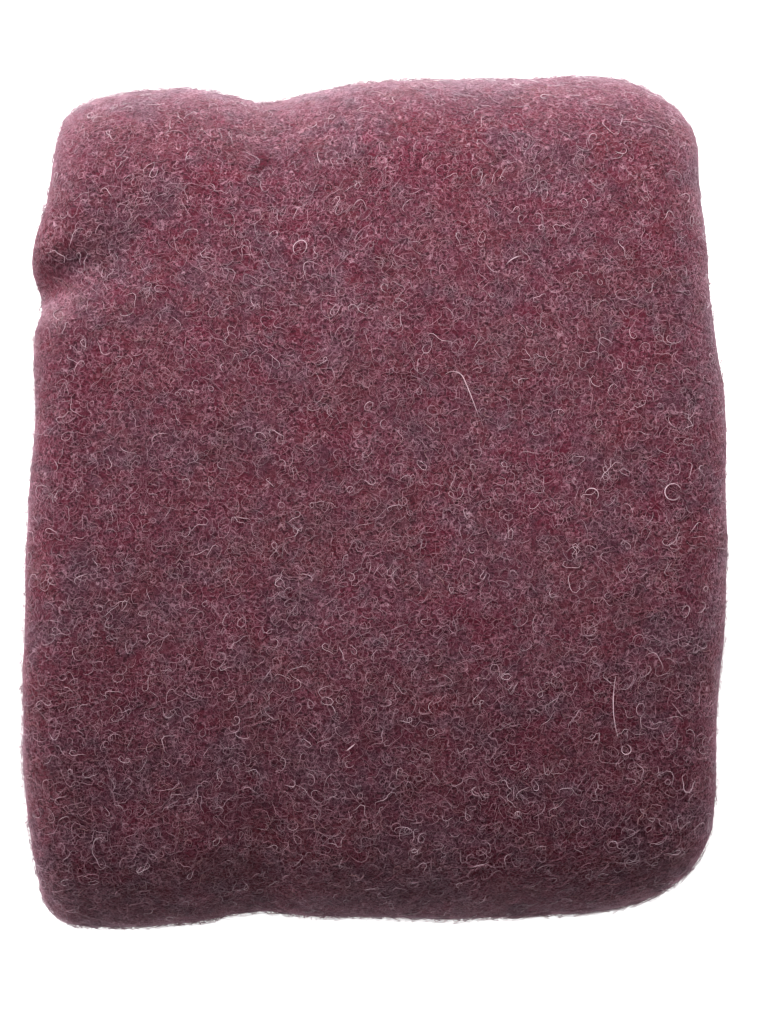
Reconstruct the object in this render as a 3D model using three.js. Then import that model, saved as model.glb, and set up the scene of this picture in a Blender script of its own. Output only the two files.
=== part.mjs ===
// A flat roll of carded wool fleece: one thick length of batt, wound about two and three quarter times into a
// soft flattened roll that lies on its broad side, with its feathered loose end tucked underneath.
// Millimetres. X runs along the roll's axis, Y across it, and Z up from the surface it rests on. The origin
// is on that surface, under the middle of the roll.
import * as THREE from "three";
import { mergeVertices } from "three/addons/utils/BufferGeometryUtils.js";

// Driving dimensions
const ROLL_LENGTH = 272; // across the axis, from one rolled side to the other
const LAYER = 11; // thickness of the batt where it lies in the roll
const WHOLE_TURNS = 2; // whole turns from the loose end, past which the batt goes on to the lower side
const TAIL_THICKNESS = 2.5; // the feathered loose end
const TAIL_TAPER = 46; // length over which the loose end thins out
const TAIL_SHADOW = 30; // length over which the next turn comes down to the surface past the loose end
const TAIL_Y = -46; // where the loose end lies, underneath
const SEAM_HALF = 104; // half of the flat stretch between the two rolled sides
const GROOVE_DEPTH = 6.5; // how far the joint between two turns is sunk at the roll's ends
const EDGE_ROUND = 4.5; // how far the outermost edge is drawn in at the ends
const END_DROP = 8; // how much lower the top lies at the roll's ends, where the layers are squeezed
const END_DROP_REACH = 16; // length over which the top rounds off to that

// Corner radii of the roll seen from above
const CORNER = { headLeft: 12, headRight: 28, footRight: 35, footLeft: 13 };

// The rolled sides seen from above: their distance from the middle at sections along the axis.
const SIDES = [
  { x: -112, head: 129.2, foot: -137.6 },
  { x: -84, head: 130.2, foot: -138.0 },
  { x: -60, head: 132.4, foot: -136.3 },
  { x: -47, head: 130.6, foot: -133.7 },
  { x: -36, head: 128.2, foot: -132.7 },
  { x: -24, head: 130.2, foot: -133.6 },
  { x: -6, head: 134.2, foot: -134.3 },
  { x: 40, head: 135.8, foot: -134.5 },
  { x: 74, head: 136.2, foot: -132.7 },
  { x: 112, head: 134.6, foot: -129.8 },
];

// The two ends seen from above, at sections across the axis. The row at y = 66 is the pinch in the left end.
const ENDS = [
  { y: -136, left: -109.8, right: 108.8 },
  { y: -92, left: -112.4, right: 108.6 },
  { y: -60, left: -112.8, right: 108.4 },
  { y: -30, left: -111.4, right: 110.4 },
  { y: 0, left: -110.4, right: 110.1 },
  { y: 32, left: -107.9, right: 108.9 },
  { y: 56, left: -108.3, right: 106.3 },
  { y: 66, left: -106.8, right: 104.7 },
  { y: 78, left: -109.9, right: 104.1 },
  { y: 104, left: -104.1, right: 102.6 },
  { y: 136, left: -100.6, right: 100.9 },
];

// Height of the top surface at sections across the axis
const CROWN = [
  { y: -136, height: 36 },
  { y: -112, height: 44 },
  { y: -76, height: 52.2 },
  { y: -48, height: 56 },
  { y: -16, height: 57.6 },
  { y: 44, height: 58 },
  { y: 76, height: 57.4 },
  { y: 104, height: 55.4 },
  { y: 136, height: 50 },
];

// Soft hollows in the top surface: the waist near the upper and the lower side, the pinch at the left end,
// and two broad dips. Each has its middle, its reach along X and Y, its turn in the plane and its depth.
const HOLLOWS = [
  { x: -36, y: 126, reachX: 14, reachY: 40, turn: 0.12, depth: 3.4 },
  { x: -39, y: -122, reachX: 16, reachY: 36, turn: -0.1, depth: 2.6 },
  { x: -102, y: 67, reachX: 23, reachY: 9, turn: 0.35, depth: 9.0 },
  { x: 30, y: 20, reachX: 60, reachY: 34, turn: 0.5, depth: 1.6 },
  { x: -62, y: -48, reachX: 34, reachY: 58, turn: -0.3, depth: 1.4 },
];

// How far each half turn's edge stands in from the ends, counted in turns from the loose end
const TURN_EDGES = [
  { turn: 0, left: 0.6, right: 0.4 },
  { turn: 0.6, left: 0, right: 0 },
  { turn: 1.1, left: 1.8, right: 0.6 },
  { turn: 1.6, left: 0.2, right: 2.4 },
  { turn: 2.1, left: 3.0, right: 1.0 },
  { turn: 2.5, left: 1.6, right: 3.4 },
];

// Fineness of the surface
const FLAT_STEPS = 28; // steps along each flat stretch of a turn
const BEND_STEPS = 20; // steps round each rolled side
const STATIONS = 24; // steps along the axis
const EDGE_PROFILE = [1, 0.25, 0, 0.25, 1]; // an edge's section through one layer: sunk, rounded out, sunk

const SLOTS = 2 * (FLAT_STEPS + BEND_STEPS); // steps in one turn
const LAYER_LINES = EDGE_PROFILE.length - 1;
const FLAT_STEP = (2 * SEAM_HALF) / FLAT_STEPS;
const TAIL_SLOT = Math.round((TAIL_Y + SEAM_HALF) / FLAT_STEP);
const TOP_LEFT_SLOT = 2 * FLAT_STEPS + BEND_STEPS; // where the top stretch meets the lower side
const START_STEP = WHOLE_TURNS * SLOTS + TOP_LEFT_SLOT - TAIL_SLOT; // where the batt starts, inside
const HALF_BEND = BEND_STEPS / 2;

// A smooth curve through one column of a table, level past its ends.
function column(rows, key, name) {
  const keys = rows.map((row) => row[key]);
  const values = rows.map((row) => row[name]);
  const curve = new THREE.CubicInterpolant(keys, values, 1, [0]);
  const low = keys[0];
  const high = keys[keys.length - 1];
  return (at) => curve.evaluate(THREE.MathUtils.clamp(at, low, high))[0];
}

const headSide = column(SIDES, "x", "head");
const footSide = column(SIDES, "x", "foot");
const leftEnd = column(ENDS, "y", "left");
const rightEnd = column(ENDS, "y", "right");
const crown = column(CROWN, "y", "height");
const leftTurn = column(TURN_EDGES, "turn", "left");
const rightTurn = column(TURN_EDGES, "turn", "right");

// Outer radius of the turn at a step counted from the loose end: it shrinks by one layer a turn, so that the
// first pass of the batt lies flat across the middle.
function spiralRadius(step) {
  return LAYER * (0.5 + (START_STEP + HALF_BEND - step) / SLOTS);
}

// Thickness of the outermost turn, which thins out towards the loose end.
function layerThickness(step) {
  const share = THREE.MathUtils.smoothstep(step * FLAT_STEP, 0, TAIL_TAPER);
  return THREE.MathUtils.lerp(TAIL_THICKNESS, LAYER, share);
}

function outerRadius(step) {
  return step < SLOTS ? spiralRadius(step + SLOTS) + layerThickness(step) : spiralRadius(step);
}

// The point of the middle seam under a slot of the turn, and the direction that faces out from it.
function slotFrame(step) {
  const slot = (TAIL_SLOT + step) % SLOTS;
  const bendTurn = Math.PI / BEND_STEPS;
  if (slot <= FLAT_STEPS) return { seam: -SEAM_HALF + slot * FLAT_STEP, out: -Math.PI / 2 };
  if (slot < FLAT_STEPS + BEND_STEPS)
    return { seam: SEAM_HALF, out: (slot - FLAT_STEPS) * bendTurn - Math.PI / 2 };
  if (slot <= TOP_LEFT_SLOT)
    return { seam: SEAM_HALF - (slot - FLAT_STEPS - BEND_STEPS) * FLAT_STEP, out: Math.PI / 2 };
  return { seam: -SEAM_HALF, out: (slot - TOP_LEFT_SLOT) * bendTurn + Math.PI / 2 };
}

// A point of the plain wound section: a step along the batt and a line from its outer face, 0, to its inner
// face. Inside the last turn the inner face lies on the middle seam, which slopes by half a layer.
function sectionPoint(step, line) {
  const { seam, out } = slotFrame(step);
  const outer = outerRadius(step);
  const outerY = seam + outer * Math.cos(out);
  const outerZ = outer * Math.sin(out);
  const inLastTurn = step > START_STEP - SLOTS;
  const inner = spiralRadius(step + SLOTS);
  const innerY = inLastTurn ? seam : seam + inner * Math.cos(out);
  const innerZ = inLastTurn ? (LAYER * (seam - SEAM_HALF)) / (4 * SEAM_HALF) : inner * Math.sin(out);
  const share = line / LAYER_LINES;
  return {
    y: THREE.MathUtils.lerp(outerY, innerY, share),
    z: THREE.MathUtils.lerp(outerZ, innerZ, share),
  };
}

// Height of the plain section above and below the seam at a place across the roll. Past the loose end the
// next turn is still held up a little by the feathered tail.
function stackAt(y) {
  const place = THREE.MathUtils.clamp(y, -SEAM_HALF, SEAM_HALF);
  const bottomStep = (place + SEAM_HALF) / FLAT_STEP - TAIL_SLOT;
  const topStep = TOP_LEFT_SLOT - (place + SEAM_HALF) / FLAT_STEP - TAIL_SLOT;
  const above = outerRadius(topStep);
  if (bottomStep >= 0) return { above, below: outerRadius(bottomStep) };
  const lift = 1 - THREE.MathUtils.smoothstep(-bottomStep * FLAT_STEP, 0, TAIL_SHADOW);
  return { above, below: spiralRadius(bottomStep + SLOTS) + TAIL_THICKNESS * lift };
}

const HEAD_REACH = SEAM_HALF + outerRadius(FLAT_STEPS + HALF_BEND - TAIL_SLOT);
const FOOT_REACH = SEAM_HALF + outerRadius(TOP_LEFT_SLOT + HALF_BEND - TAIL_SLOT);

// How far a round of this radius draws an edge in at a distance from the side it turns into.
function roundInset(radius, distance) {
  const into = Math.max(0, radius - distance);
  return radius - Math.sqrt(Math.max(0, radius * radius - into * into));
}

// Depth of all the soft hollows at a place on the top.
function hollowDepth(x, y) {
  return HOLLOWS.reduce((sum, hollow) => {
    const cos = Math.cos(hollow.turn);
    const sin = Math.sin(hollow.turn);
    const along = ((x - hollow.x) * cos + (y - hollow.y) * sin) / hollow.reachX;
    const across = ((y - hollow.y) * cos - (x - hollow.x) * sin) / hollow.reachY;
    return sum + hollow.depth * Math.exp(-along * along - across * across);
  }, 0);
}

// A point of the roll. Along is 0 at the left end and 1 at the right one. Sunk is the share of a joint's full
// depth by which the point is drawn in at the nearer end.
function rollPoint(step, line, along) {
  const { y, z } = sectionPoint(step, line);
  const across = (y + FOOT_REACH) / (HEAD_REACH + FOOT_REACH);
  const plainY = (across - 0.5) * ROLL_LENGTH;
  const fromHead = ROLL_LENGTH / 2 - plainY;
  const fromFoot = ROLL_LENGTH / 2 + plainY;
  const turn = (step + (SLOTS * line) / LAYER_LINES) / SLOTS;
  const sunk = sunkAt(step, line);
  const left =
    leftEnd(plainY) +
    roundInset(CORNER.headLeft, fromHead) +
    roundInset(CORNER.footLeft, fromFoot) +
    leftTurn(turn) +
    sunk;
  const right =
    rightEnd(plainY) -
    roundInset(CORNER.headRight, fromHead) -
    roundInset(CORNER.footRight, fromFoot) -
    rightTurn(turn) -
    sunk;
  const realX = THREE.MathUtils.lerp(left, right, along);
  const realY = THREE.MathUtils.lerp(footSide(realX), headSide(realX), across);
  const { above, below } = stackAt(y);
  const share = (z + below) / (above + below);
  const toEnd = Math.min(realX - left, right - realX) + sunk;
  const squeezed = Math.max(0, 1 - toEnd / END_DROP_REACH);
  const height = crown(plainY) - END_DROP * squeezed * squeezed - hollowDepth(realX, realY);
  return new THREE.Vector3(realX, realY, share * height);
}

// How far a line of the batt's edge is drawn in: the outermost edge less than the joints between turns.
function sunkAt(step, line) {
  const outerStep = line < LAYER_LINES / 2 ? step : step + SLOTS;
  const jointShare = THREE.MathUtils.smoothstep(outerStep, SLOTS, SLOTS + HALF_BEND);
  return EDGE_PROFILE[line] * THREE.MathUtils.lerp(EDGE_ROUND, GROOVE_DEPTH, jointShare);
}

// Collects triangles as loose points, which are welded when all are in.
class TriangleList {
  constructor() {
    this.points = [];
  }

  triangle(a, b, c) {
    this.points.push(a, b, c);
  }

  quad(a, b, c, d) {
    this.triangle(a, b, c);
    this.triangle(a, c, d);
  }

  geometry() {
    const loose = new THREE.BufferGeometry().setFromPoints(this.points);
    const welded = mergeVertices(loose, 1e-3);
    const corners = welded.index.array;
    const kept = [];
    for (let i = 0; i < corners.length; i += 3) {
      const [a, b, c] = corners.slice(i, i + 3);
      if (a !== b && b !== c && a !== c) kept.push(a, b, c);
    }
    welded.setIndex(kept);
    welded.computeVertexNormals();
    return welded;
  }
}

// The outline of the wound section: once round the outermost turn, then down the loose end's thin edge.
function outlineSteps() {
  const round = Array.from({ length: SLOTS + 1 }, (_, step) => ({ step, line: 0 }));
  const tailEdge = Array.from({ length: LAYER_LINES }, (_, i) => ({ step: 0, line: LAYER_LINES - 1 - i }));
  return [...round, ...tailEdge];
}

// Stations along the axis, closer together near the two ends.
function stationShare(station) {
  const place = (2 * station) / STATIONS - 1;
  const eased = 0.5 * place + 0.5 * Math.sin((place * Math.PI) / 2);
  return (eased + 1) / 2;
}

function addSkin(list) {
  const outline = outlineSteps();
  for (let station = 0; station < STATIONS; station++) {
    const here = stationShare(station);
    const next = stationShare(station + 1);
    for (let i = 0; i + 1 < outline.length; i++) {
      const a = outline[i];
      const b = outline[i + 1];
      list.quad(
        rollPoint(a.step, a.line, here),
        rollPoint(b.step, b.line, here),
        rollPoint(b.step, b.line, next),
        rollPoint(a.step, a.line, next),
      );
    }
  }
}

// One end of the roll, on which each turn's rounded edge shows. The start of the batt ends at the seam, where
// the turn around it closes on its thickness.
function addEnd(list, along) {
  const face = (a, b, c) => (along === 1 ? list.triangle(a, b, c) : list.triangle(a, c, b));
  for (let step = 0; step < START_STEP; step++) {
    for (let line = 0; line < LAYER_LINES; line++) {
      const a = rollPoint(step, line, along);
      const b = rollPoint(step + 1, line, along);
      const c = rollPoint(step + 1, line + 1, along);
      const d = rollPoint(step, line + 1, along);
      const closesOnStart = step === START_STEP - SLOTS && line === LAYER_LINES - 1;
      const corners = [b, c, ...(closesOnStart ? startEdge(along) : []), d, a];
      for (let i = 1; i + 1 < corners.length; i++) face(corners[0], corners[i], corners[i + 1]);
    }
  }
}

// The points through the thickness of the batt where it starts, from the seam outwards.
function startEdge(along) {
  return Array.from({ length: LAYER_LINES - 1 }, (_, i) =>
    rollPoint(START_STEP, LAYER_LINES - 1 - i, along),
  );
}

function woundFleece() {
  const list = new TriangleList();
  addSkin(list);
  addEnd(list, 0);
  addEnd(list, 1);
  const geometry = list.geometry();
  geometry.computeBoundingBox();
  const middle = geometry.boundingBox.getCenter(new THREE.Vector3());
  return geometry.translate(-middle.x, -middle.y, 0);
}

const woolBurgundy = new THREE.MeshStandardMaterial({ color: "#6d4650", roughness: 1, metalness: 0 });
const fleeceRoll = new THREE.Mesh(woundFleece(), woolBurgundy);
fleeceRoll.name = "fleece_roll";

const roll = new THREE.Group();
roll.add(fleeceRoll);

export default roll;
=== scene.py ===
"""A flat roll of carded wool fleece, in heathered burgundy.

The batt is one thick sheet, wound flat about two and three quarter times. Its surface is felted wool: a dense
tangle of crimped fibres of several dyes, which stand out of it as a short curly nap, with a few longer stray
hairs on top. Sizes are in real millimetres, and meshes are in metres.
"""

import logging
import math
from collections.abc import Callable, Sequence
from dataclasses import dataclass, field
from enum import Enum

import bpy
import numpy as np
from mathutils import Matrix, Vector

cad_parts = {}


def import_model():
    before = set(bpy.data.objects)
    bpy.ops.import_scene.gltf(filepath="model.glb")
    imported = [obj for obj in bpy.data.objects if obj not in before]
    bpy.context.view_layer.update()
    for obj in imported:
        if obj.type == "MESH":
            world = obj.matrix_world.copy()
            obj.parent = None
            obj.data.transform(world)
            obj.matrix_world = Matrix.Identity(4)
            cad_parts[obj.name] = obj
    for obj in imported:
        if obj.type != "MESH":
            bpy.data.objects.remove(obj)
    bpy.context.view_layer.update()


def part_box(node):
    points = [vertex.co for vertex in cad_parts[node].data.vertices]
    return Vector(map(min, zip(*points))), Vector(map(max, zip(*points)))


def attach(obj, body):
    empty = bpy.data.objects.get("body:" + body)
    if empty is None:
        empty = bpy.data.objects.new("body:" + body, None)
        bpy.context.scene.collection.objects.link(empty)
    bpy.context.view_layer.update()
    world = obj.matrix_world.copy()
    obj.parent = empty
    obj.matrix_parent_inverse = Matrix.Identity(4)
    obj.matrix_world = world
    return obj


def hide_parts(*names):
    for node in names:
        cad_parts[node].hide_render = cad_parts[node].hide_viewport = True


LOG = logging.getLogger("wool_fleece_roll")
MM = 0.001
NODE = "fleece_roll"
BODY = "root"
BAKE_MAP = "OFBake"

Row = dict[str, float]
Span = tuple[float, float]
Curve = Callable[[np.ndarray], np.ndarray]
Colour = tuple[float, float, float, float]
Tree = bpy.types.NodeTree
Socket = bpy.types.NodeSocket

WHITE: Colour = (1.0, 1.0, 1.0, 1.0)
TINY = 1e-9

# Painted rim light: where the batt turns over from its top into its walls, its fibres are painted lighter by a
# gain and by a share of a pale mauve, standing in for the light that shines through the loose fibres there. This
# paint goes from a slope below the top to one above the walls, both measured on the height of the unit normal.
RIM_LIGHT_COLOUR = "#937682"
RIM_LIGHT_SHARE = 0.3
RIM_LIGHT_GAIN: Colour = (1.31, 1.62, 1.52, 1.0)
RIM_LIGHT_BELOW_TOP: Span = (0.05, 0.8)
RIM_LIGHT_ABOVE_WALL: Span = (-0.1, 0.2)

# Places of painted shade: the colour of their shade, their depth in millimetres, and how much of their reach is
# fully shaded
CREASE_SHADE_COLOUR = "#451421"
CREASE_SHADE_DEPTH = 25.0
CREASE_SHADE_CORE = 0.4

# Fibre roots: over which heights of the normal the underside ends, over how much slope a steep nap sets in,
# the least spacing in millimetres of the grid that a fibre walks on, and how wide a fibre is at its ends
UNDERSIDE: Span = (-0.8, -0.1)
STEEP_SPAN = 0.5
LEAST_SPACING = 0.3
TIP_WIDTH = 0.4

# The rolled sides seen from above: their distance from the middle at sections along the axis
SIDES: tuple[Row, ...] = (
    {"x": -112, "head": 129.2, "foot": -137.6},
    {"x": -84, "head": 130.2, "foot": -138.0},
    {"x": -60, "head": 132.4, "foot": -136.3},
    {"x": -47, "head": 130.6, "foot": -133.7},
    {"x": -36, "head": 128.2, "foot": -132.7},
    {"x": -24, "head": 130.2, "foot": -133.6},
    {"x": -6, "head": 134.2, "foot": -134.3},
    {"x": 40, "head": 135.8, "foot": -134.5},
    {"x": 74, "head": 136.2, "foot": -132.7},
    {"x": 112, "head": 134.6, "foot": -129.8},
)

# The two ends seen from above, at sections across the axis. The row at y = 66 is the pinch in the left end.
ENDS: tuple[Row, ...] = (
    {"y": -136, "left": -109.8, "right": 108.8},
    {"y": -92, "left": -112.4, "right": 108.6},
    {"y": -60, "left": -112.8, "right": 108.4},
    {"y": -30, "left": -111.4, "right": 110.4},
    {"y": 0, "left": -110.4, "right": 110.1},
    {"y": 32, "left": -107.9, "right": 108.9},
    {"y": 56, "left": -108.3, "right": 106.3},
    {"y": 66, "left": -106.8, "right": 104.7},
    {"y": 78, "left": -109.9, "right": 104.1},
    {"y": 104, "left": -104.1, "right": 102.6},
    {"y": 136, "left": -100.6, "right": 100.9},
)

# Height of the top surface at sections across the axis
CROWN: tuple[Row, ...] = (
    {"y": -136, "height": 36},
    {"y": -112, "height": 44},
    {"y": -76, "height": 52.2},
    {"y": -48, "height": 56},
    {"y": -16, "height": 57.6},
    {"y": 44, "height": 58},
    {"y": 76, "height": 57.4},
    {"y": 104, "height": 55.4},
    {"y": 136, "height": 50},
)

# Soft hollows in the top: their middle, their reach along X and Y, their turn in the plane and their depth
HOLLOWS: tuple[Row, ...] = (
    {"x": -36, "y": 126, "reach_x": 14, "reach_y": 40, "turn": 0.12, "depth": 3.4},
    {"x": -39, "y": -122, "reach_x": 16, "reach_y": 36, "turn": -0.1, "depth": 2.6},
    {"x": -102, "y": 67, "reach_x": 23, "reach_y": 9, "turn": 0.35, "depth": 9.0},
    {"x": 30, "y": 20, "reach_x": 60, "reach_y": 34, "turn": 0.5, "depth": 1.6},
    {"x": -62, "y": -48, "reach_x": 34, "reach_y": 58, "turn": -0.3, "depth": 1.4},
)

# Places painted with shade on the top, where a dark ground colour and darker fibres stand in for the shade that
# falls into them: the one in the pinch, and a small bent crease
CREASE_SHADE_PLACES: tuple[Row, ...] = (
    {"x": -101.9, "y": 69.9, "reach_x": 10, "reach_y": 7.5, "turn": 0.3, "share": 0.5},
    {"x": -33.3, "y": 107.4, "reach_x": 3.6, "reach_y": 1.4, "turn": -0.6, "share": 1.0},
    {"x": -34.6, "y": 104.4, "reach_x": 4.6, "reach_y": 1.7, "turn": 0.8, "share": 1.0},
)

# How far each half turn's edge stands in from the ends, counted in turns from the loose end
TURN_EDGES: tuple[Row, ...] = (
    {"turn": 0, "left": 0.6, "right": 0.4},
    {"turn": 0.6, "left": 0, "right": 0},
    {"turn": 1.1, "left": 1.8, "right": 0.6},
    {"turn": 1.6, "left": 0.2, "right": 2.4},
    {"turn": 2.1, "left": 3.0, "right": 1.0},
    {"turn": 2.5, "left": 1.6, "right": 3.4},
)


def linear_colour(hex_code: str) -> Colour:
    """Turns an sRGB hex colour into the linear one that shaders take.

    Args:
        hex_code: Six hex digits after a hash.

    Returns:
        Linear red, green and blue, and an alpha of 1.
    """
    srgb = np.array([int(hex_code[i : i + 2], 16) for i in (1, 3, 5)]) / 255
    linear = np.where(srgb <= 0.04045, srgb / 12.92, ((srgb + 0.055) / 1.055) ** 2.4)
    return (float(linear[0]), float(linear[1]), float(linear[2]), 1.0)


def lerp(start: np.ndarray, end: np.ndarray, share: np.ndarray) -> np.ndarray:
    """Goes straight from start, at share 0, to end, at share 1."""
    return start + (end - start) * share


def smoothstep(value: np.ndarray, low: float, high: float) -> np.ndarray:
    """Rises from 0 at low to 1 at high as 3t² - 2t³, level at both ends."""
    t = np.clip((value - low) / (high - low), 0.0, 1.0)
    return t * t * (3.0 - 2.0 * t)


def smooth_column(rows: Sequence[Row], key: str, name: str) -> Curve:
    """Makes a smooth curve through one column of a table.

    Each stretch is a cubic with given slopes at its ends. The slope at a row is the mean of the straight slopes
    to its two neighbours, or the only one there is. The curve stays level past the table's ends.

    Args:
        rows: The table.
        key: The column that the curve runs along.
        name: The column that it goes through.

    Returns:
        A function that gives the curve's value at an array of places.
    """
    places = np.array([row[key] for row in rows], float)
    values = np.array([row[name] for row in rows], float)
    secants = np.diff(values) / np.diff(places)
    slopes = np.concatenate([secants[:1], (secants[1:] + secants[:-1]) / 2, secants[-1:]])

    def curve(at: np.ndarray) -> np.ndarray:
        at = np.clip(at, places[0], places[-1])
        i = np.clip(np.searchsorted(places, at, side="right") - 1, 0, len(places) - 2)
        span = places[i + 1] - places[i]
        t = (at - places[i]) / span
        return (
            values[i] * (1 + 2 * t) * (1 - t) ** 2
            + slopes[i] * span * t * (1 - t) ** 2
            + values[i + 1] * t * t * (3 - 2 * t)
            + slopes[i + 1] * span * t * t * (t - 1)
        )

    return curve


def round_inset(radius: float, distance: np.ndarray) -> np.ndarray:
    """Gives how far a round draws an edge in, at a distance from the side that it turns into.

    The round is a quarter circle, so the inset is the radius less the root of radius² - (radius - distance)².
    """
    into = np.clip(radius - distance, 0.0, radius)
    return radius - np.sqrt(radius * radius - into * into)


def lattice_noise(points: np.ndarray, size: float, seed: int) -> np.ndarray:
    """Gives smooth random lumps from -1 to 1.

    Random values stand on a cubic lattice that repeats every 32 cells, and each point blends its cell's eight
    corners by the smoothstep of its place in the cell.

    Args:
        points: Points in millimetres, with x, y and z last.
        size: Width of one lump in millimetres.
        seed: Seed of the lattice.

    Returns:
        One value a point.
    """
    cells = 32
    lattice = np.random.default_rng(seed).uniform(-1.0, 1.0, (cells, cells, cells))
    places = points / size
    low = np.floor(places).astype(int)
    t = places - low
    t = t * t * (3.0 - 2.0 * t)
    total = np.zeros(points.shape[:-1])
    for corner in np.ndindex(2, 2, 2):
        at = (low + corner) % cells
        weight = np.prod(np.where(np.array(corner) == 1, t, 1.0 - t), axis=-1)
        total += weight * lattice[at[..., 0], at[..., 1], at[..., 2]]
    return total


def add_node(
    tree: Tree,
    kind: str,
    settings: dict[str, object] | None = None,
    inputs: dict[str | int, object] | None = None,
) -> bpy.types.Node:
    """Adds a node, with its settings and what goes into its sockets.

    Args:
        tree: The node tree that it goes into.
        kind: Its Blender type.
        settings: Its properties by name.
        inputs: What each input socket takes, by name or number: a plain value, or the socket to link from.

    Returns:
        The new node.
    """
    node = tree.nodes.new(kind)
    for name, value in (settings or {}).items():
        setattr(node, name, value)
    for name, value in (inputs or {}).items():
        if isinstance(value, Socket):
            tree.links.new(value, node.inputs[name])
        else:
            node.inputs[name].default_value = value
    return node


def new_material(name: str) -> tuple[bpy.types.Material, Tree]:
    """Makes an empty node material and gives it with its tree."""
    material = bpy.data.materials.new(name)
    material.use_nodes = True
    material.node_tree.nodes.clear()
    return material, material.node_tree


def mesh_object(
    name: str,
    points: np.ndarray,
    corners: np.ndarray,
    sides: np.ndarray,
    corner_uv: np.ndarray | None = None,
) -> bpy.types.Object:
    """Puts whole arrays into a new smooth mesh object at the origin.

    Args:
        name: Name of the object and its mesh.
        points: Vertices in metres, one row each.
        corners: Vertex numbers of every face's corners, one face after the other.
        sides: Number of corners of each face.
        corner_uv: Places on the bake map, one row a corner.

    Returns:
        The object, linked into the scene.
    """
    mesh = bpy.data.meshes.new(name)
    mesh.vertices.add(len(points))
    mesh.vertices.foreach_set("co", points.astype(np.float32).ravel())
    mesh.loops.add(len(corners))
    mesh.loops.foreach_set("vertex_index", corners.astype(np.int32))
    mesh.polygons.add(len(sides))
    mesh.polygons.foreach_set("loop_start", (np.cumsum(sides) - sides).astype(np.int32))
    mesh.polygons.foreach_set("use_smooth", np.ones(len(sides), bool))
    if corner_uv is not None:
        layer = mesh.uv_layers.new(name=BAKE_MAP)
        layer.uv.foreach_set("vector", corner_uv.astype(np.float32).ravel())
    mesh.update(calc_edges=True)
    obj = bpy.data.objects.new(name, mesh)
    bpy.context.scene.collection.objects.link(obj)
    return obj


def add_to_frame(obj: bpy.types.Object) -> None:
    """Puts a piece on the roll's body."""
    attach(obj, BODY)


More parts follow.
